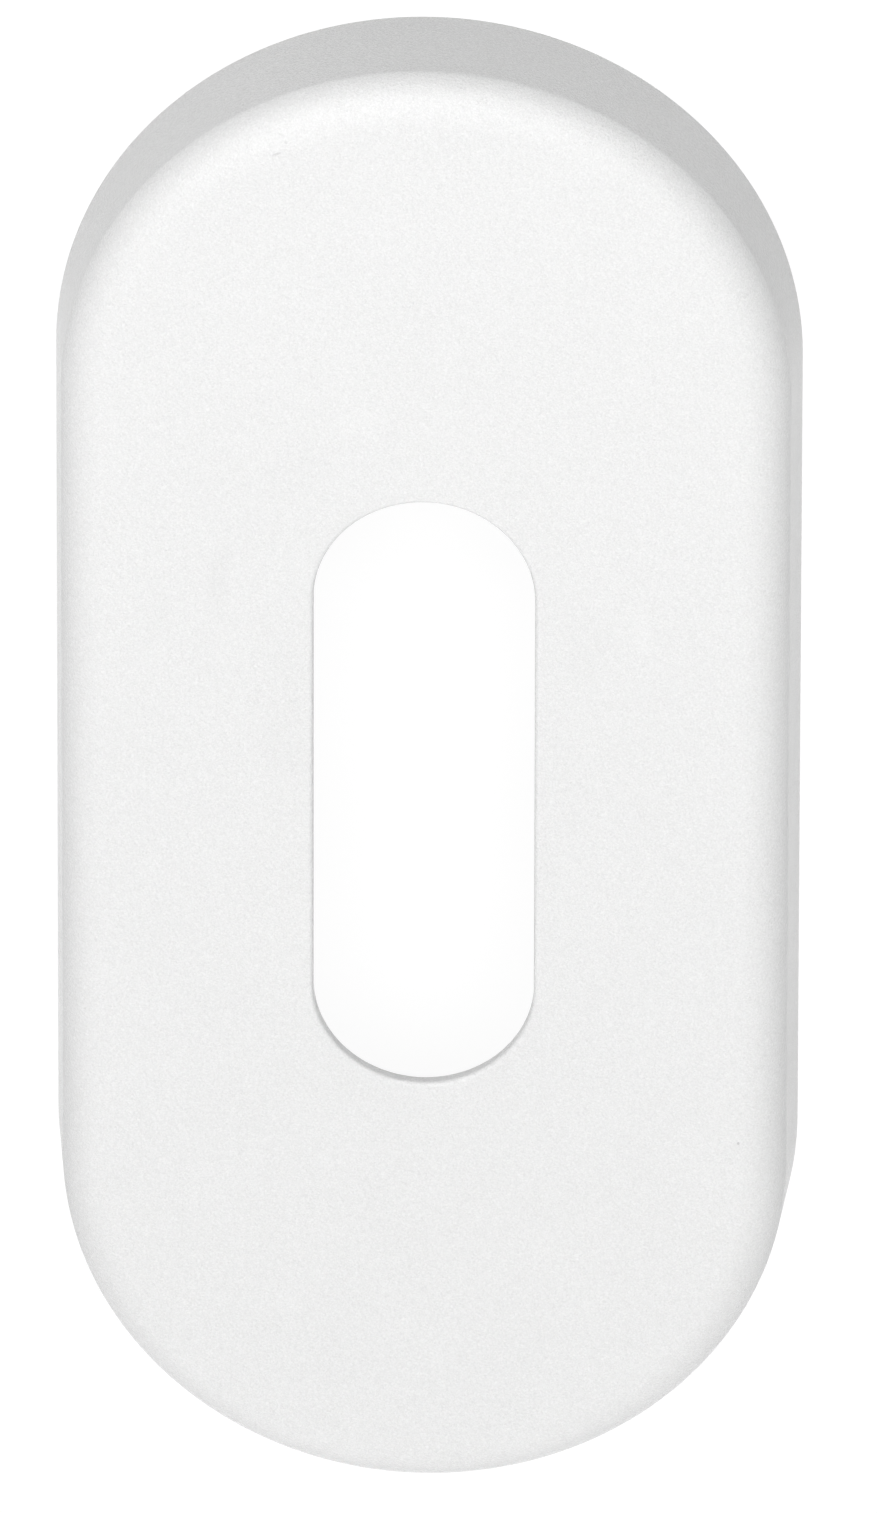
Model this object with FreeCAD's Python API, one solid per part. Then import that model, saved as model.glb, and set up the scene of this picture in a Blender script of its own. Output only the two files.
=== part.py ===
import FreeCAD, Part
import math
import os

# Keyhole escutcheon: a long oval cover pressed from one piece of sheet, open at the back,
# with an upright oval slot for the key.
# Lengths are in millimetres and angles in degrees. The flat rim at the back lies on Z = 0,
# the front face looks along +Z, and the long sides run along Y. The origin is the middle
# of the rim.

# The cover, measured over its outside
cover_length = 65.0
cover_width = 30.0
cover_height = 5.5
# Lean of the side wall, inwards from the rim to the front
wall_draft = 5.0
# Round between the side wall and the front face. It meets the wall at a small angle, the
# break, which leaves a fine crease all the way round.
edge_radius = 2.0
edge_break = 12.0
# Thickness of the sheet, the same on the face, the round and the wall
sheet = 0.6

# The keyhole slot, measured between its straight walls
slot_length = 26.6
slot_width = 8.9
# Round where the front face turns down into the slot
slot_edge_radius = 0.2

# How far a cutting form runs past the surface that it opens
overrun = 1.0


def vector(x, z):
    """A point of a half section, which is drawn in the plane Y = 0."""
    return FreeCAD.Vector(x, 0.0, z)


def line(start, end):
    return Part.LineSegment(start, end).toShape()


def arc(centre, radius, first, last):
    """An arc in the plane Y = 0, from one angle to the other, in degrees above +X."""
    points = []
    for angle in (first, (first + last) / 2, last):
        turn = math.radians(angle)
        points.append(centre + vector(radius * math.cos(turn), radius * math.sin(turn)))
    return Part.Arc(*points).toShape()


def half_section(rim_outwards):
    """Close a half section: the given edges run from the foot of the wall to the top,
    and the middle axis and the underside close it."""
    foot = rim_outwards[0].Vertexes[0].Point
    top = rim_outwards[-1].Vertexes[-1].Point
    axis_low = vector(0.0, foot.z)
    axis_high = vector(0.0, top.z)
    edges = rim_outwards + [line(top, axis_high), line(axis_high, axis_low), line(axis_low, foot)]
    return Part.Face(Part.Wire(edges))


def long_oval(section, straight):
    """Carry a half section round a long oval: half a turn at each end, and a straight run
    of the given length along each side."""
    origin = FreeCAD.Vector(0, 0, 0)
    upwards = FreeCAD.Vector(0, 0, 1)
    end = section.revolve(origin, upwards, 180)
    end.translate(FreeCAD.Vector(0, straight / 2, 0))
    side = section.extrude(FreeCAD.Vector(0, straight, 0))
    side.translate(FreeCAD.Vector(0, -straight / 2, 0))
    quarters = [end, side]
    for piece in (end, side):
        turned = piece.copy()
        turned.rotate(origin, upwards, 180)
        quarters.append(turned)
    return quarters[0].multiFuse(quarters[1:]).removeSplitter()


def cover_section(inset, foot):
    """Half section of the cover's outer form, moved inwards by inset and reaching down
    to foot. The round of every inset has the same centre, so the sheet keeps one
    thickness from the face to the rim."""
    lean = math.radians(wall_draft)
    centre_height = cover_height - edge_radius
    wall_reach = edge_radius * math.cos(math.radians(edge_break))
    centre_out = cover_width / 2 - centre_height * math.tan(lean) - wall_reach / math.cos(lean)
    centre = vector(centre_out, centre_height)
    wall_foot = vector(cover_width / 2 - inset / math.cos(lean) - foot * math.tan(lean), foot)
    radius = edge_radius - inset
    if wall_reach > inset:
        crease = wall_draft + math.degrees(math.acos((wall_reach - inset) / radius))
        round_edge = arc(centre, radius, crease, 90.0)
        wall_top = round_edge.Vertexes[0].Point
        return half_section([line(wall_foot, wall_top), round_edge])
    top = cover_height - inset
    corner = vector(cover_width / 2 - inset / math.cos(lean) - top * math.tan(lean), top)
    return half_section([line(wall_foot, corner)])


def slot_section():
    """Half section of the form that cuts the slot: straight walls through the sheet,
    flaring out at the front so that the face rolls over into the slot."""
    roll = min(slot_edge_radius, sheet)
    half_width = slot_width / 2
    foot = vector(half_width, cover_height - sheet - overrun)
    roll_centre = vector(half_width + roll, cover_height - roll)
    roll_over = arc(roll_centre, roll, 180.0, 90.0)
    roll_start = roll_over.Vertexes[0].Point
    roll_end = roll_over.Vertexes[-1].Point
    above = vector(roll_end.x, cover_height + overrun)
    return half_section([line(foot, roll_start), roll_over, line(roll_end, above)])


def escutcheon():
    straight = cover_length - cover_width
    outside = long_oval(cover_section(0.0, 0.0), straight)
    hollow = long_oval(cover_section(sheet, -overrun), straight)
    slot = long_oval(slot_section(), slot_length - slot_width)
    return outside.cut(hollow).cut(slot).removeSplitter()


def main():
    os.makedirs("parts", exist_ok=True)
    solid = escutcheon()
    solid.exportStep("parts/escutcheon.step")
    box = solid.optimalBoundingBox()
    print("escutcheon:", len(solid.Solids), "solid,", len(solid.Faces), "faces, valid", solid.isValid())
    print("size %.2f x %.2f x %.2f mm" % (box.XLength, box.YLength, box.ZLength))
    print("volume %.1f mm3" % solid.Volume)


main()
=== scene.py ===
# %% [markdown]
# # A keyhole escutcheon in satin white
#
# The object is a small long oval cover that is fixed over a keyhole: one piece of thin sheet,
# pressed so that a flat face turns over a rounded edge into a low side wall, with a slot
# for the key. The solid model of it is loaded first, as a fixed frame. Everything that
# follows is dressed around that frame and never moves or resizes it.

# %% Load the solid model
import bmesh
import bpy
import math
from mathutils import Matrix, Vector


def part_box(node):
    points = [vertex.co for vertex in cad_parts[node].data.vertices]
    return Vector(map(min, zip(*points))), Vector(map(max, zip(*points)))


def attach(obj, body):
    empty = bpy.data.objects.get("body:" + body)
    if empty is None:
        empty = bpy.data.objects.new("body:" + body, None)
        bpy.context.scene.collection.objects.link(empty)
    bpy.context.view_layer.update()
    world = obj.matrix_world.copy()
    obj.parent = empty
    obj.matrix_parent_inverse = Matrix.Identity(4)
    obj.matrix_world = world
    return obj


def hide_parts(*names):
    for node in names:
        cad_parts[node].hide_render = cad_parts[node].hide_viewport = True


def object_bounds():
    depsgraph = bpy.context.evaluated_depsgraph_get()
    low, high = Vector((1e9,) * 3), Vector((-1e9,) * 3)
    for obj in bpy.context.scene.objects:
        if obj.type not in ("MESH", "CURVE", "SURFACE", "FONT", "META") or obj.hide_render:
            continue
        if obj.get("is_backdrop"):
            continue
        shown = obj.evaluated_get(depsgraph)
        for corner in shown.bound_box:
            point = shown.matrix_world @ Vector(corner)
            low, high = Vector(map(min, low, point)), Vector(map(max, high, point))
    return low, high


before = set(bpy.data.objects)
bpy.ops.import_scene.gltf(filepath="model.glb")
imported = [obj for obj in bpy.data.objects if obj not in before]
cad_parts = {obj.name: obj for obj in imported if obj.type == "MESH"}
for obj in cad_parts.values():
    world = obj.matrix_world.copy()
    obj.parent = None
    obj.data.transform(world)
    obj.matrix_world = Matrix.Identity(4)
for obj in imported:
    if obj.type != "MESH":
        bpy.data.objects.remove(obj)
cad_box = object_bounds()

MM = 0.001
low_corner, high_corner = [[round(v / MM, 2) for v in corner] for corner in cad_box]
print("solid model, mm:", low_corner, "to", high_corner)

# %% [markdown]
# ## Sizes
#
# The outside sizes are read from the frame, so the dressed cover can't drift away from it.
# The sizes that a box can't tell, such as the lean of the wall or the round of an edge,
# are named here once, in metres.

# %% Sizes of the cover
low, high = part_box("escutcheon")
COVER_WIDTH = high[0] - low[0]
COVER_LENGTH = high[1] - low[1]
COVER_HEIGHT = high[2] - low[2]
WALL_LEAN = math.radians(5.0)
EDGE_RADIUS = 2.0 * MM
EDGE_BREAK = math.radians(12.0)
SHEET = 0.6 * MM
SLOT_LENGTH = 26.6 * MM
SLOT_WIDTH = 8.9 * MM
SLOT_EDGE_RADIUS = 0.2 * MM
RIM_RADIUS = 0.06 * MM
print("cover %.1f x %.1f x %.1f mm" % (COVER_LENGTH / MM, COVER_WIDTH / MM, COVER_HEIGHT / MM))

# %% [markdown]
# ## Small helpers for node trees
#
# Geometry and materials are both made of nodes here. Three short helpers keep the cells
# readable: one fills a socket with a number or with a link, one adds a node with its
# options, and one adds a sum.

# %% Helpers for node trees
def feed(tree, socket, value):
    """Link an output to the socket, or set the socket to a plain value."""
    if isinstance(value, bpy.types.NodeSocket):
        tree.links.new(value, socket)
    else:
        socket.default_value = value


def add(tree, kind, inputs=None, **options):
    """Add a node with its options, and fill the inputs that are given by name or number."""
    node = tree.nodes.new(kind)
    for name, value in options.items():
        setattr(node, name, value)
    for name, value in (inputs or {}).items():
        feed(tree, node.inputs[name], value)
    return node


def calc(tree, operation, *values):
    """A sum on numbers, as the output of a Math node."""
    node = add(tree, "ShaderNodeMath", operation=operation)
    for socket, value in zip(node.inputs, values):
        feed(tree, socket, value)
    return node.outputs[0]


print("helpers: feed, add, calc")

# %% [markdown]
# ## The pressed cover
#
# A pressed cover follows a rule: one section of sheet runs all the way round a long oval.
# It could be modelled by hand from a box, or cut out of the solid model, but a rule is best
# written as a rule, so Geometry Nodes make it. The section is a closed line of corners,
# and a fillet rounds each corner by its own radius. The section is then carried along the
# rim, which is two half circles joined by straight sides.

# %% Inputs of the cover's tree
cover_tree = bpy.data.node_groups.new("pressed_cover", "GeometryNodeTree")
cover_tree.interface.new_socket("Geometry", in_out="OUTPUT", socket_type="NodeSocketGeometry")
COVER_INPUTS = {
    "Width": COVER_WIDTH,
    "Length": COVER_LENGTH,
    "Height": COVER_HEIGHT,
    "Wall Lean": WALL_LEAN,
    "Edge Radius": EDGE_RADIUS,
    "Edge Break": EDGE_BREAK,
    "Sheet": SHEET,
    "Slot Length": SLOT_LENGTH,
    "Slot Width": SLOT_WIDTH,
    "Slot Edge Radius": SLOT_EDGE_RADIUS,
    "Rim Radius": RIM_RADIUS,
}
for input_name in COVER_INPUTS:
    cover_tree.interface.new_socket(input_name, in_out="INPUT", socket_type="NodeSocketFloat")
cover_tree.interface.new_socket("Steps In Half Turn", in_out="INPUT", socket_type="NodeSocketInt")
cover_tree.interface.new_socket("Material", in_out="INPUT", socket_type="NodeSocketMaterial")
given = cover_tree.nodes.new("NodeGroupInput").outputs
print("inputs:", [socket.name for socket in given if socket.name])


# %% Sums with the section's numbers
def plus(*values):
    """The total of several values of the section."""
    total = values[0]
    for value in values[1:]:
        total = calc(cover_tree, "ADD", total, value)
    return total


def minus(first, second):
    return calc(cover_tree, "SUBTRACT", first, second)


def times(first, second):
    return calc(cover_tree, "MULTIPLY", first, second)


def over(first, second):
    return calc(cover_tree, "DIVIDE", first, second)


def trig(function, angle):
    """SINE, COSINE, TANGENT or ARCCOSINE of one value."""
    return calc(cover_tree, function, angle)


print("sums: plus, minus, times, over, trig")

# %% [markdown]
# The section has two lines that matter to the eye. The outer wall leans in a little towards
# the front, as a pressed part must to leave its tool, and the large round meets it at a small
# angle, the edge break. That leaves the fine crease that runs round the real cover. Inside,
# the crease is sharp, and outside it is rounded by the thickness of the sheet, because sheet
# that bends keeps its thickness.

# %% The wall and the large round
half_width = over(given["Width"], 2.0)
lean_tangent = trig("TANGENT", given["Wall Lean"])
lean_cosine = trig("COSINE", given["Wall Lean"])
inner_radius = minus(given["Edge Radius"], given["Sheet"])
round_height = minus(given["Height"], given["Edge Radius"])
wall_reach = times(given["Edge Radius"], trig("COSINE", given["Edge Break"]))


def wall_at(height):
    """How far the outer wall lies from the long middle line at a height."""
    return minus(half_width, times(height, lean_tangent))


round_out = minus(wall_at(round_height), over(wall_reach, lean_cosine))
sheet_across = over(given["Sheet"], lean_cosine)
print("nodes so far:", len(cover_tree.nodes))

# %% The crease where they meet
crease_turn = trig("ARCCOSINE", over(minus(wall_reach, given["Sheet"]), inner_radius))
crease_angle = plus(given["Wall Lean"], crease_turn)
crease_cosine = trig("COSINE", crease_angle)
crease_sine = trig("SINE", crease_angle)
crease_reach = times(given["Sheet"], trig("TANGENT", over(crease_turn, 2.0)))
inner_crease_out = plus(round_out, times(inner_radius, crease_cosine))
inner_crease_height = plus(round_height, times(inner_radius, crease_sine))
bend_end_out = plus(inner_crease_out, times(given["Sheet"], crease_cosine))
bend_end_height = plus(inner_crease_height, times(given["Sheet"], crease_sine))
crease_out = plus(bend_end_out, times(crease_reach, crease_sine))
crease_height = minus(bend_end_height, times(crease_reach, crease_cosine))
round_spread = trig("TANGENT", over(minus(math.pi / 2, crease_angle), 2.0))
print("nodes so far:", len(cover_tree.nodes))

# %% [markdown]
# A few extra corners lie close to where each round starts. A smooth-shaded face takes its
# tilt from its own corners, so a long flat face next to a round would look bent. The extra
# corners keep that bend within a tenth of a millimetre.

# %% Corners of the section
SUPPORT = 0.1 * MM
slot_half = over(given["Slot Width"], 2.0)
top = given["Height"]
under = minus(given["Height"], given["Sheet"])
roll_end = plus(slot_half, given["Slot Edge Radius"])
back_edge_end = plus(slot_half, given["Rim Radius"])
face_end = minus(round_out, SUPPORT)
low_support = plus(given["Rim Radius"], SUPPORT)
outer_support = minus(minus(crease_height, crease_reach), SUPPORT)
inner_support = minus(inner_crease_height, SUPPORT)

# each corner: distance from the long middle line, height, radius of its round
corners = [
    (slot_half, under, given["Rim Radius"]),
    (slot_half, top, given["Slot Edge Radius"]),
    (plus(roll_end, SUPPORT), top, 0.0),
    (face_end, top, 0.0),
    (plus(round_out, times(given["Edge Radius"], round_spread)), top, given["Edge Radius"]),
    (crease_out, crease_height, given["Sheet"]),
    (wall_at(outer_support), outer_support, 0.0),
    (wall_at(low_support), low_support, 0.0),
    (half_width, 0.0, given["Rim Radius"]),
    (minus(half_width, sheet_across), 0.0, given["Rim Radius"]),
    (minus(wall_at(low_support), sheet_across), low_support, 0.0),
    (minus(wall_at(inner_support), sheet_across), inner_support, 0.0),
    (inner_crease_out, inner_crease_height, 0.0),
    (plus(round_out, times(inner_radius, round_spread)), under, inner_radius),
    (face_end, under, 0.0),
    (plus(back_edge_end, SUPPORT), under, 0.0),
]
print("corners in the section:", len(corners))


# %% The section as a rounded curve
STEPS_IN_ROUND = 20


def pick(tree, index, values, data_type):
    """One of the values, by the index of the point that asks."""
    node = add(tree, "GeometryNodeIndexSwitch", data_type=data_type)
    while len(node.index_switch_items) < len(values):
        node.index_switch_items.new()
    feed(tree, node.inputs["Index"], index)
    for number, value in enumerate(values):
        feed(tree, node.inputs[str(number)], value)
    return node.outputs[0]


point_index = cover_tree.nodes.new("GeometryNodeInputIndex").outputs[0]
places = []
for corner_out, corner_height, corner_radius in corners:
    # the section is carried upside down, so its heights are turned over here
    place = {"X": minus(corner_out, half_width), "Y": times(corner_height, -1.0)}
    places.append(add(cover_tree, "ShaderNodeCombineXYZ", place).outputs[0])
radii = [corner_radius for corner_out, corner_height, corner_radius in corners]
section = add(cover_tree, "GeometryNodeMeshLine", {"Count": len(corners)}).outputs[0]
section = add(cover_tree, "GeometryNodeSetPosition", {
    "Geometry": section,
    "Position": pick(cover_tree, point_index, places, "VECTOR")}).outputs[0]
section = add(cover_tree, "GeometryNodeMeshToCurve", {"Mesh": section}).outputs[0]
section = add(cover_tree, "GeometryNodeSetSplineCyclic", {
    "Geometry": section, "Cyclic": True}).outputs[0]
section = add(cover_tree, "GeometryNodeFilletCurve", {
    "Curve": section,
    "Radius": pick(cover_tree, point_index, radii, "FLOAT"),
    "Count": STEPS_IN_ROUND}, mode="POLY").outputs[0]
print("steps in each round:", STEPS_IN_ROUND)

# %% The rim as a long oval
per_half = plus(given["Steps In Half Turn"], 1.0)
# 0 for the points of the upper end and 1 for those of the lower end
lower_half = calc(cover_tree, "FLOOR", over(point_index, per_half))
turn = times(over(minus(point_index, lower_half), given["Steps In Half Turn"]), math.pi)
# 1 at the upper end and -1 at the lower end
side = calc(cover_tree, "MULTIPLY_ADD", lower_half, -2.0, 1.0)
half_straight = over(minus(given["Length"], given["Width"]), 2.0)
rim_x = times(trig("COSINE", turn), half_width)
rim_y = plus(times(trig("SINE", turn), half_width), times(side, half_straight))
rim_place = add(cover_tree, "ShaderNodeCombineXYZ", {"X": rim_x, "Y": rim_y}).outputs[0]
rim = add(cover_tree, "GeometryNodeMeshLine", {"Count": times(per_half, 2.0)}).outputs[0]
rim = add(cover_tree, "GeometryNodeSetPosition", {"Geometry": rim, "Position": rim_place}).outputs[0]
rim = add(cover_tree, "GeometryNodeMeshToCurve", {"Mesh": rim}).outputs[0]
rim = add(cover_tree, "GeometryNodeSetSplineCyclic", {"Geometry": rim, "Cyclic": True}).outputs[0]
rim = add(cover_tree, "GeometryNodeSetCurveNormal", {"Curve": rim}, mode="Z_UP").outputs[0]
print("nodes so far:", len(cover_tree.nodes))

# %% [markdown]
# The slot is a long oval too, but it is shorter for its width than the rim, so its ends have
# other centres. The section is carried along the rim, which would leave the slot as long
# as the rim's straight sides. So each point remembers how far in the section it lies, and
# the straight stretch shrinks, over the flat face alone, from the rim's to the slot's.

# %% Carry the section round the rim
section_place = cover_tree.nodes.new("GeometryNodeInputPosition").outputs[0]
section_x = add(cover_tree, "ShaderNodeSeparateXYZ", {"Vector": section_place}).outputs["X"]
remember = add(cover_tree, "GeometryNodeCaptureAttribute")
remember.capture_items.new("FLOAT", "Section X")
feed(cover_tree, remember.inputs["Geometry"], section)
feed(cover_tree, remember.inputs["Section X"], section_x)
swept = add(cover_tree, "GeometryNodeCurveToMesh", {
    "Curve": rim,
    "Profile Curve": remember.outputs["Geometry"]}).outputs[0]
print("nodes so far:", len(cover_tree.nodes))

# %% Shorten the straight stretch towards the slot
slot_straight = over(minus(given["Slot Length"], given["Slot Width"]), 2.0)
shrink = minus(over(slot_straight, half_straight), 1.0)
share = add(cover_tree, "ShaderNodeMapRange", {
    "Value": plus(remember.outputs["Section X"], half_width),
    "From Min": roll_end,
    "From Max": round_out,
    "To Min": 1.0,
    "To Max": 0.0}).outputs[0]
swept_place = cover_tree.nodes.new("GeometryNodeInputPosition").outputs[0]
along = add(cover_tree, "ShaderNodeSeparateXYZ", {"Vector": swept_place}).outputs["Y"]
on_straight = add(cover_tree, "ShaderNodeClamp", {
    "Value": along,
    "Min": times(half_straight, -1.0),
    "Max": half_straight}).outputs[0]
slide = times(times(on_straight, shrink), share)
slide = add(cover_tree, "ShaderNodeCombineXYZ", {"Y": slide}).outputs[0]
swept = add(cover_tree, "GeometryNodeSetPosition", {"Geometry": swept, "Offset": slide}).outputs[0]
print("nodes so far:", len(cover_tree.nodes))

# %% Close the seam, smooth it and give it its material
SAME_POINT = 1e-7
swept = add(cover_tree, "GeometryNodeMergeByDistance", {
    "Geometry": swept, "Distance": SAME_POINT}).outputs[0]
swept = add(cover_tree, "GeometryNodeSetShadeSmooth", {"Geometry": swept}).outputs[0]
swept = add(cover_tree, "GeometryNodeRealizeInstances", {"Geometry": swept}).outputs[0]
swept = add(cover_tree, "GeometryNodeSetMaterial", {
    "Geometry": swept, "Material": given["Material"]}).outputs[0]
add(cover_tree, "NodeGroupOutput", {"Geometry": swept})
print("nodes in the cover's tree:", len(cover_tree.nodes))

# %% [markdown]
# ## The powder coat
#
# The real finish is a satin white powder coat: fine grains of paint that melt together in
# an oven. Close up it isn't smooth. It has a very fine orange-peel grain, about a seventh of
# a millimetre from crest to crest, that shows as a soft fleck in the tone and as a
# roughness to the light. A picture of it would need an image file, and would show its
# edges, so noise nodes make it. They read Object coordinates, in metres, so the grain has
# its real size and runs over the face, the round and the wall without a seam.
#
# The noise is built on a grid of cells. Where the grid lies in line with the surface it
# would show, as stripes on the face or as a coarse patch on the round. So the grid is
# turned askew to the face, and the noise distorts itself, which breaks up what is left.

# %% The coat and its grain
COAT_TONE = 0.84
GRAIN_PER_METRE = 13500.0
GRAIN_FLECK = 0.19
GRAIN_HEIGHT = 0.028 * MM
GRAIN_SKEW = (0.6, 0.4, 0.5)
GRAIN_DISTORTION = 1.0
COAT_IOR = 1.6
NOISE_MIDDLE = 0.5
powder_coat = bpy.data.materials.new("satin_powder_coat")
powder_coat.use_nodes = True
coat_tree = powder_coat.node_tree
surface = coat_tree.nodes["Principled BSDF"]
where = coat_tree.nodes.new("ShaderNodeTexCoord").outputs["Object"]
skewed = add(coat_tree, "ShaderNodeMapping", {
    "Vector": where, "Rotation": GRAIN_SKEW}, vector_type="POINT").outputs[0]
grain = add(coat_tree, "ShaderNodeTexNoise", {
    "Vector": skewed,
    "Scale": GRAIN_PER_METRE,
    "Detail": 0.0,
    "Distortion": GRAIN_DISTORTION}).outputs["Fac"]
from_middle = calc(coat_tree, "SUBTRACT", grain, NOISE_MIDDLE)
fleck = calc(coat_tree, "MULTIPLY", from_middle, GRAIN_FLECK)
bump = add(coat_tree, "ShaderNodeBump", {
    "Height": grain, "Strength": 1.0, "Distance": GRAIN_HEIGHT})
feed(coat_tree, surface.inputs["Normal"], bump.outputs[0])
surface.inputs["IOR"].default_value = COAT_IOR
print("grain: one wave in %.2f mm" % (2.0 / GRAIN_PER_METRE / MM))

# %% [markdown]
# A coat that has been handled is a little uneven. Broad, very weak clouds change its tone by
# less than one part in a hundred, and its gloss with it. They also bend the outlines of
# the smudges that follow, so that no smudge looks like a drawn ellipse.

# %% Clouds in tone and gloss
CLOUDS_PER_METRE = 260.0
CLOUD_DETAIL = 2.0
CLOUD_REACH = 0.2
CLOUD_TONE = 0.016
SATIN = 0.24
SATIN_RANGE = 0.02
WANDER = 1.6 * MM
clouds = add(coat_tree, "ShaderNodeTexNoise", {
    "Vector": where, "Scale": CLOUDS_PER_METRE, "Detail": CLOUD_DETAIL})
from_middle = calc(coat_tree, "SUBTRACT", clouds.outputs["Fac"], NOISE_MIDDLE)
cloud_tone = calc(coat_tree, "MULTIPLY", from_middle, CLOUD_TONE)
gloss = add(coat_tree, "ShaderNodeMapRange", {
    "Value": clouds.outputs["Fac"],
    "From Min": NOISE_MIDDLE - CLOUD_REACH,
    "From Max": NOISE_MIDDLE + CLOUD_REACH,
    "To Min": SATIN - SATIN_RANGE,
    "To Max": SATIN + SATIN_RANGE})
feed(coat_tree, surface.inputs["Roughness"], gloss.outputs[0])
centred = add(coat_tree, "ShaderNodeVectorMath", {
    0: clouds.outputs["Color"], 1: (NOISE_MIDDLE,) * 3}, operation="SUBTRACT").outputs[0]
strayed = add(coat_tree, "ShaderNodeVectorMath", {
    0: centred, 1: (WANDER, WANDER, 0.0), 2: where}, operation="MULTIPLY_ADD").outputs[0]
print("roughness %.2f to %.2f" % (SATIN - SATIN_RANGE, SATIN + SATIN_RANGE))

# %% [markdown]
# The face of the real cover has six faint smudges round the slot, two small scratches and
# a nick near the top, and one dark speck low on the right. Each is a soft spot: a Mapping
# node turns and scales the face so that the spot becomes a circle of radius 1, and the
# distance from its middle fades the mark out. The spot is thin in depth, so the hollow
# back stays clean.

# %% A soft spot on the face
SPOT_DEPTH = 0.5 * MM


def soft_spot(start, x, y, half_long, half_wide, turned, core):
    """A mask of 1 in a turned ellipse on the face that fades to 0 from its core outwards."""
    placed = add(coat_tree, "ShaderNodeMapping", {
        "Vector": start,
        "Location": (x * MM, y * MM, COVER_HEIGHT),
        "Rotation": (0.0, 0.0, math.radians(turned)),
        "Scale": (half_long * MM, half_wide * MM, SPOT_DEPTH)}, vector_type="TEXTURE").outputs[0]
    away = add(coat_tree, "ShaderNodeVectorMath", {0: placed}, operation="LENGTH").outputs["Value"]
    return add(coat_tree, "ShaderNodeMapRange", {
        "Value": away,
        "From Min": core,
        "From Max": 1.0,
        "To Min": 1.0,
        "To Max": 0.0}, interpolation_type="SMOOTHSTEP").outputs[0]


print("spots fade out over %.1f mm of depth" % (SPOT_DEPTH / MM))

# %% Smudges, scratches and the speck
SMUDGE_CORE = 0.2
SCRATCH_CORE = 0.4
# each mark: middle across and along, half length and half width in mm, turn, change of tone
SMUDGES = {
    "thumb": (-8.3, 9.9, 2.2, 0.8, 80, -0.024),
    "left_of_slot": (-5.7, 4.2, 7.0, 1.8, 90, -0.010),
    "above_slot": (-5.0, 14.8, 2.4, 1.8, 40, -0.010),
    "wiped_streak": (-2.7, 16.9, 1.9, 0.6, 15, 0.014),
    "right_of_slot": (6.7, 7.0, 2.2, 1.6, 70, -0.010),
    "wiped_hook": (8.8, 7.5, 2.0, 0.5, 80, 0.014),
}
SCRATCHES = {
    "scratch": (-5.93, 29.03, 0.26, 0.07, 23, -0.14),
    "faint_scratch": (-5.75, 29.80, 0.26, 0.08, -30, -0.08),
    "nick": (-5.55, 29.54, 0.09, 0.09, 0, -0.10),
    "speck": (12.74, -15.79, 0.08, 0.08, 0, -0.26),
}
tone = calc(coat_tree, "ADD", calc(coat_tree, "ADD", fleck, COAT_TONE), cloud_tone)
for marks, start, core in ((SMUDGES, strayed, SMUDGE_CORE), (SCRATCHES, where, SCRATCH_CORE)):
    for x, y, half_long, half_wide, turned, change in marks.values():
        spot = soft_spot(start, x, y, half_long, half_wide, turned, core)
        tone = calc(coat_tree, "MULTIPLY_ADD", spot, change, tone)
tint = add(coat_tree, "ShaderNodeCombineColor", {"Red": tone, "Green": tone, "Blue": tone})
feed(coat_tree, surface.inputs["Base Color"], tint.outputs[0])
print("marks on the face:", len(SMUDGES) + len(SCRATCHES))

# %% [markdown]
# ## From nodes to a mesh
#
# The tree runs on an empty object, and what it makes is kept as a plain mesh at the origin,
# because the part is handed over as meshes. The inputs are set by the sockets' identifiers
# before anything is evaluated. The mesh then takes the place of the plain solid, which is
# hidden, and rides on the root body.

# %% Make the cover's mesh
STEPS_IN_HALF_TURN = 128


def made_by_nodes(name, tree, values):
    """Run a geometry tree on an empty object and keep its result as a plain mesh."""
    seed = bpy.data.objects.new(name + "_seed", bpy.data.meshes.new(name + "_seed"))
    bpy.context.scene.collection.objects.link(seed)
    modifier = seed.modifiers.new("nodes", "NODES")
    modifier.node_group = tree
    for item in tree.interface.items_tree:
        if item.in_out == "INPUT":
            modifier[item.identifier] = values[item.name]
    seed.update_tag()
    evaluated = seed.evaluated_get(bpy.context.evaluated_depsgraph_get())
    mesh = bpy.data.meshes.new_from_object(evaluated)
    mesh.name = name
    bpy.data.objects.remove(seed)
    made = bpy.data.objects.new(name, mesh)
    bpy.context.scene.collection.objects.link(made)
    return made


cover = made_by_nodes("cover", cover_tree, {
    **COVER_INPUTS,
    "Steps In Half Turn": STEPS_IN_HALF_TURN,
    "Material": powder_coat})
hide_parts("escutcheon")
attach(cover, "root")
print("cover: %d vertices, %d faces" % (len(cover.data.vertices), len(cover.data.polygons)))

# %% Measure the cover
measured = bmesh.new()
measured.from_mesh(cover.data)
volume = measured.calc_volume(signed=True)
open_edges = [edge for edge in measured.edges if not edge.is_manifold]
measured.free()
print("%.1f mm3 of sheet, %d open edges" % (volume / MM ** 3, len(open_edges)))

# %% [markdown]
# ## The camera
#
# The picture is taken from far away with a very long lens, from above the upper end, so the
# long oval looks shortened and the wall shows at the top. Three turns and one scale place the
# camera: how far it is tilted from square on, how far it is swung to the right, a small
# roll, and how many pixels of the picture one millimetre takes.

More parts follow.
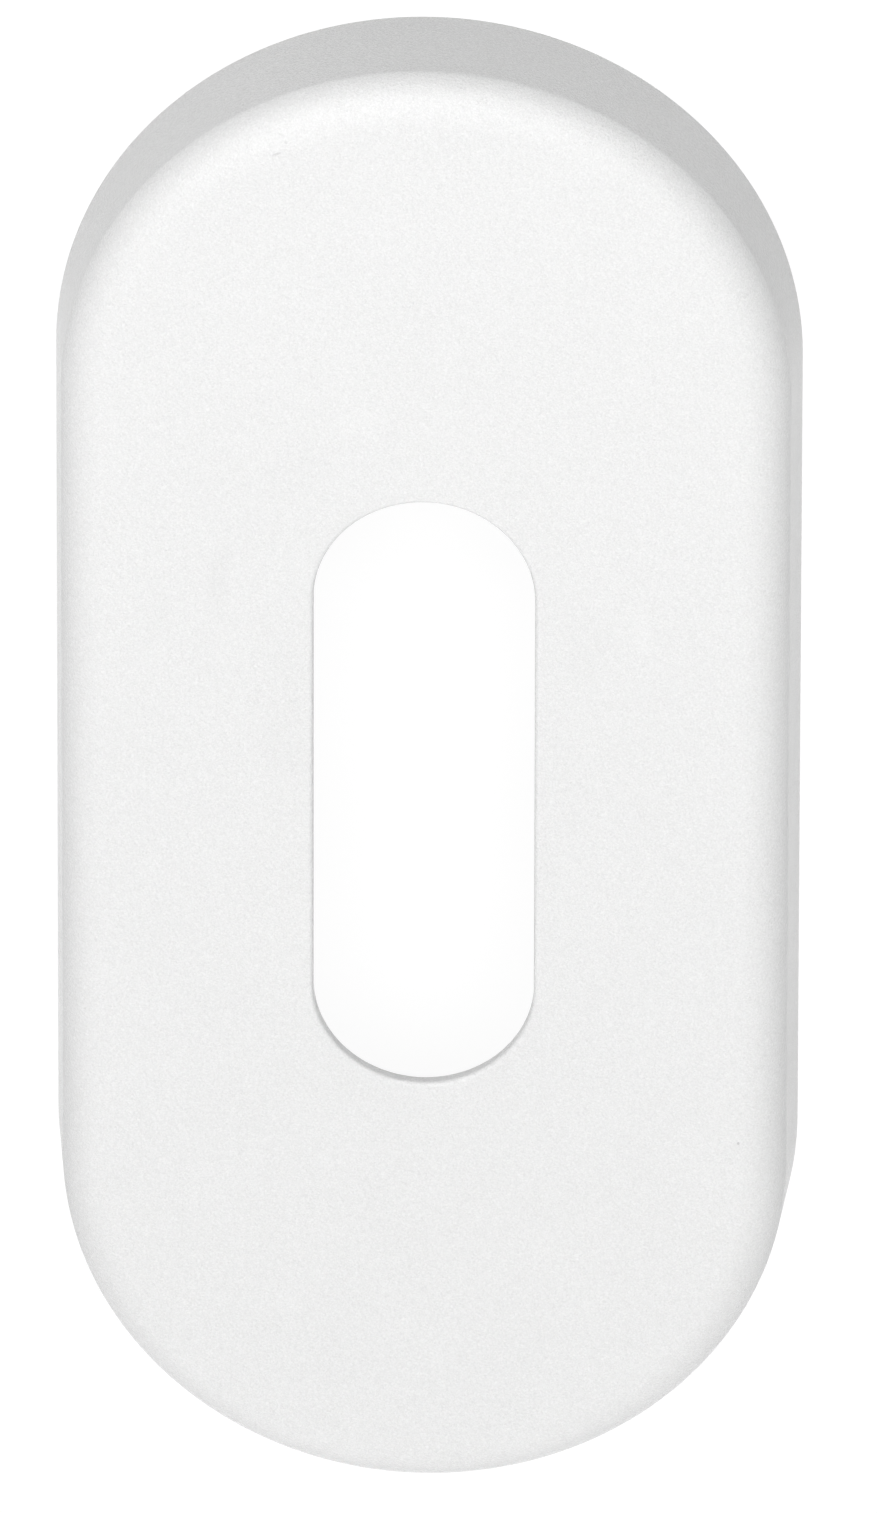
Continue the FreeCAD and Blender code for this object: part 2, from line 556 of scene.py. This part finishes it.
# %% Camera
PHOTO_WIDTH = 877
PHOTO_HEIGHT = 1513
PIXELS_PER_METRE = 24.785 / MM
ORIGIN_PIXEL = (428.7, 729.5)
TILT = math.radians(28.7)
SWING = math.radians(2.0)
ROLL = math.radians(0.12)
LENS = 975.0
SENSOR = 36.0
level_share = math.cos(TILT)
towards_camera = Vector((
    math.sin(SWING) * level_share, math.sin(TILT), math.cos(SWING) * level_share))
level_right = Vector((math.cos(SWING), 0.0, -math.sin(SWING)))
level_up = towards_camera.cross(level_right)
picture_right = level_right * math.cos(ROLL) + level_up * math.sin(ROLL)
picture_up = towards_camera.cross(picture_right)
distance = LENS / SENSOR * PHOTO_HEIGHT / PIXELS_PER_METRE
aim_right = (PHOTO_WIDTH / 2 - ORIGIN_PIXEL[0]) / PIXELS_PER_METRE
aim_up = (ORIGIN_PIXEL[1] - PHOTO_HEIGHT / 2) / PIXELS_PER_METRE
aim = picture_right * aim_right + picture_up * aim_up
camera_data = bpy.data.cameras.new("camera")
camera_data.lens = LENS
camera_data.sensor_width = SENSOR
camera = bpy.data.objects.new("camera", camera_data)
bpy.context.scene.collection.objects.link(camera)
turned_to = Matrix((picture_right, picture_up, towards_camera)).transposed().to_4x4()
camera.matrix_world = Matrix.Translation(aim + towards_camera * distance) @ turned_to
bpy.context.scene.camera = camera
print("camera %.2f m away" % distance)

# %% [markdown]
# ## The floor
#
# The cover lies on a white floor. Seen by the camera or in a reflection, the floor glows
# almost white and a weak plain paint adds the rest, so that the cover still throws a faint
# shadow. To rays that only carry light it is a darker paper, because a floor that glowed
# for them too would light the side walls from below.
#
# The floor ends short of the low soft boxes. Behind them it would get no light from them
# and show as a grey band in a view from the side. The white background takes over there.

# %% Greys, and the rays that see the background
def grey(tone):
    """A grey as a colour with its alpha."""
    return (tone, tone, tone, 1.0)


def seen_directly(tree):
    """1 for rays from the camera, a reflection or glass, 0 for rays that only carry light."""
    ray = tree.nodes.new("ShaderNodeLightPath").outputs
    mirrored = calc(tree, "MAXIMUM", ray["Is Camera Ray"], ray["Is Glossy Ray"])
    return calc(tree, "MAXIMUM", mirrored, ray["Is Transmission Ray"])


WHITE = grey(1.0)
print("helpers: grey, seen_directly")

# %% Floor
FLOOR_REACH = 0.4
FLOOR_GAP = 0.01 * MM
FLOOR_GLOW = 0.92
FLOOR_SHADOW_TONE = 0.14
FLOOR_PAPER_TONE = 0.12
floor_corners = [(-1, -1), (1, -1), (1, 1), (-1, 1)]
floor_points = [(x * FLOOR_REACH, y * FLOOR_REACH, -FLOOR_GAP) for x, y in floor_corners]
floor_mesh = bpy.data.meshes.new("floor")
floor_mesh.from_pydata(floor_points, [], [(0, 1, 2, 3)])
floor = bpy.data.objects.new("floor", floor_mesh)
bpy.context.scene.collection.objects.link(floor)
floor_paint = bpy.data.materials.new("white_floor")
floor_paint.use_nodes = True
floor_tree = floor_paint.node_tree
floor_tree.nodes.remove(floor_tree.nodes["Principled BSDF"])
paper = add(floor_tree, "ShaderNodeBsdfDiffuse", {"Color": grey(FLOOR_PAPER_TONE)})
seen = add(floor_tree, "ShaderNodeEmission", {"Color": WHITE, "Strength": FLOOR_GLOW})
dimmed = add(floor_tree, "ShaderNodeBsdfDiffuse", {"Color": grey(FLOOR_SHADOW_TONE)})
shown = add(floor_tree, "ShaderNodeAddShader", {0: seen.outputs[0], 1: dimmed.outputs[0]})
either = add(floor_tree, "ShaderNodeMixShader", {
    0: seen_directly(floor_tree), 1: paper.outputs[0], 2: shown.outputs[0]})
feed(floor_tree, floor_tree.nodes["Material Output"].inputs["Surface"], either.outputs[0])
floor_mesh.materials.append(floor_paint)
floor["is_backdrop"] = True
print("floor %.1f m wide" % (2 * FLOOR_REACH))

# %% [markdown]
# ## The light
#
# The real picture was lit softly from all round, more from the upper end, which leaves
# a bright band on the round there and a slow fall of tone down the face. Bare lamps would
# give hard spots, so all lamps are soft boxes: flat glowing rectangles that face the
# cover. Each is placed by its turn round the cover and its lean from overhead, and the
# camera doesn't see it. Its power was found by rendering it alone and weighing the lone
# pictures of all the boxes against the real one.
#
# The upper boxes also show in the gloss, and make its bright band. The low ones only fill
# the walls. They are kept out of reflections, because in a view along the face, where
# gloss is strongest, they would flare over all of it.

# %% One soft box
def softbox(name, place, size, power, mirrored):
    """A glowing rectangle at a place, turned to face the cover."""
    data = bpy.data.lights.new(name, "AREA")
    data.shape = "RECTANGLE"
    data.size, data.size_y = size
    data.energy = power
    lamp = bpy.data.objects.new(name, data)
    bpy.context.scene.collection.objects.link(lamp)
    lamp.location = place
    lamp.rotation_mode = "QUATERNION"
    lamp.rotation_quaternion = place.to_track_quat("Z", "Y")
    lamp.visible_camera = False
    lamp.visible_glossy = mirrored


def softboxes(boxes, mirrored):
    """Place a set of soft boxes round the cover."""
    for name, (bearing, lean_over, away, width, height, power) in boxes.items():
        turn_round, leaning = math.radians(bearing), math.radians(lean_over)
        level = math.sin(leaning)
        way = Vector((level * math.sin(turn_round), level * math.cos(turn_round), math.cos(leaning)))
        softbox(name, way * away, (width, height), power, mirrored)
    print("%d boxes, %.2f W in all" % (len(boxes), sum(box[-1] for box in boxes.values())))


# %% Soft boxes round the cover
# each box: turn from the upper end towards the right, lean, distance, width, height, power
UPPER_BOXES = {
    "overhead": (0, 0, 0.60, 0.90, 0.90, 0.66),
    "right": (90, 35, 0.35, 0.30, 0.30, 0.18),
    "left": (270, 35, 0.35, 0.30, 0.30, 0.09),
    "back_right": (45, 40, 0.35, 0.35, 0.35, 0.315),
    "back_left": (315, 40, 0.35, 0.35, 0.35, 0.40),
    "back_upper_strip": (0, 48, 0.30, 0.30, 0.05, 0.16),
    "back_lower_strip": (0, 64, 0.30, 0.30, 0.05, 0.115),
}
LOW_BOXES = {
    "right_low": (90, 80, 0.45, 0.30, 0.30, 0.267),
    "front_right_low": (135, 80, 0.45, 0.30, 0.30, 0.125),
    "front_low": (180, 80, 0.45, 0.30, 0.30, 1.332),
    "left_low": (270, 80, 0.45, 0.30, 0.30, 0.661),
}
softboxes(UPPER_BOXES, mirrored=True)
softboxes(LOW_BOXES, mirrored=False)

# %% The room around
ROOM_LIGHT = 0.103
world = bpy.data.worlds.new("studio")
bpy.context.scene.world = world
world.use_nodes = True
sky = world.node_tree
room = sky.nodes["Background"]
room.inputs["Color"].default_value = WHITE
room.inputs["Strength"].default_value = ROOM_LIGHT
white = add(sky, "ShaderNodeBackground", {"Color": WHITE, "Strength": 1.0})
either = add(sky, "ShaderNodeMixShader", {
    0: seen_directly(sky), 1: room.outputs[0], 2: white.outputs[0]})
feed(sky, sky.nodes["World Output"].inputs["Surface"], either.outputs[0])
print("room light:", ROOM_LIGHT)

# %% [markdown]
# ## Finish
#
# The picture is shown with the Standard view transform, so a tone comes out as it is
# written. The box of the dressed cover is printed, to set beside the box of the solid
# model that is printed at the start.

# %% Finish
bpy.context.scene.view_settings.view_transform = "Standard"
visual_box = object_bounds()
low_corner, high_corner = [[round(v / MM, 2) for v in corner] for corner in visual_box]
print("dressed cover, mm:", low_corner, "to", high_corner)
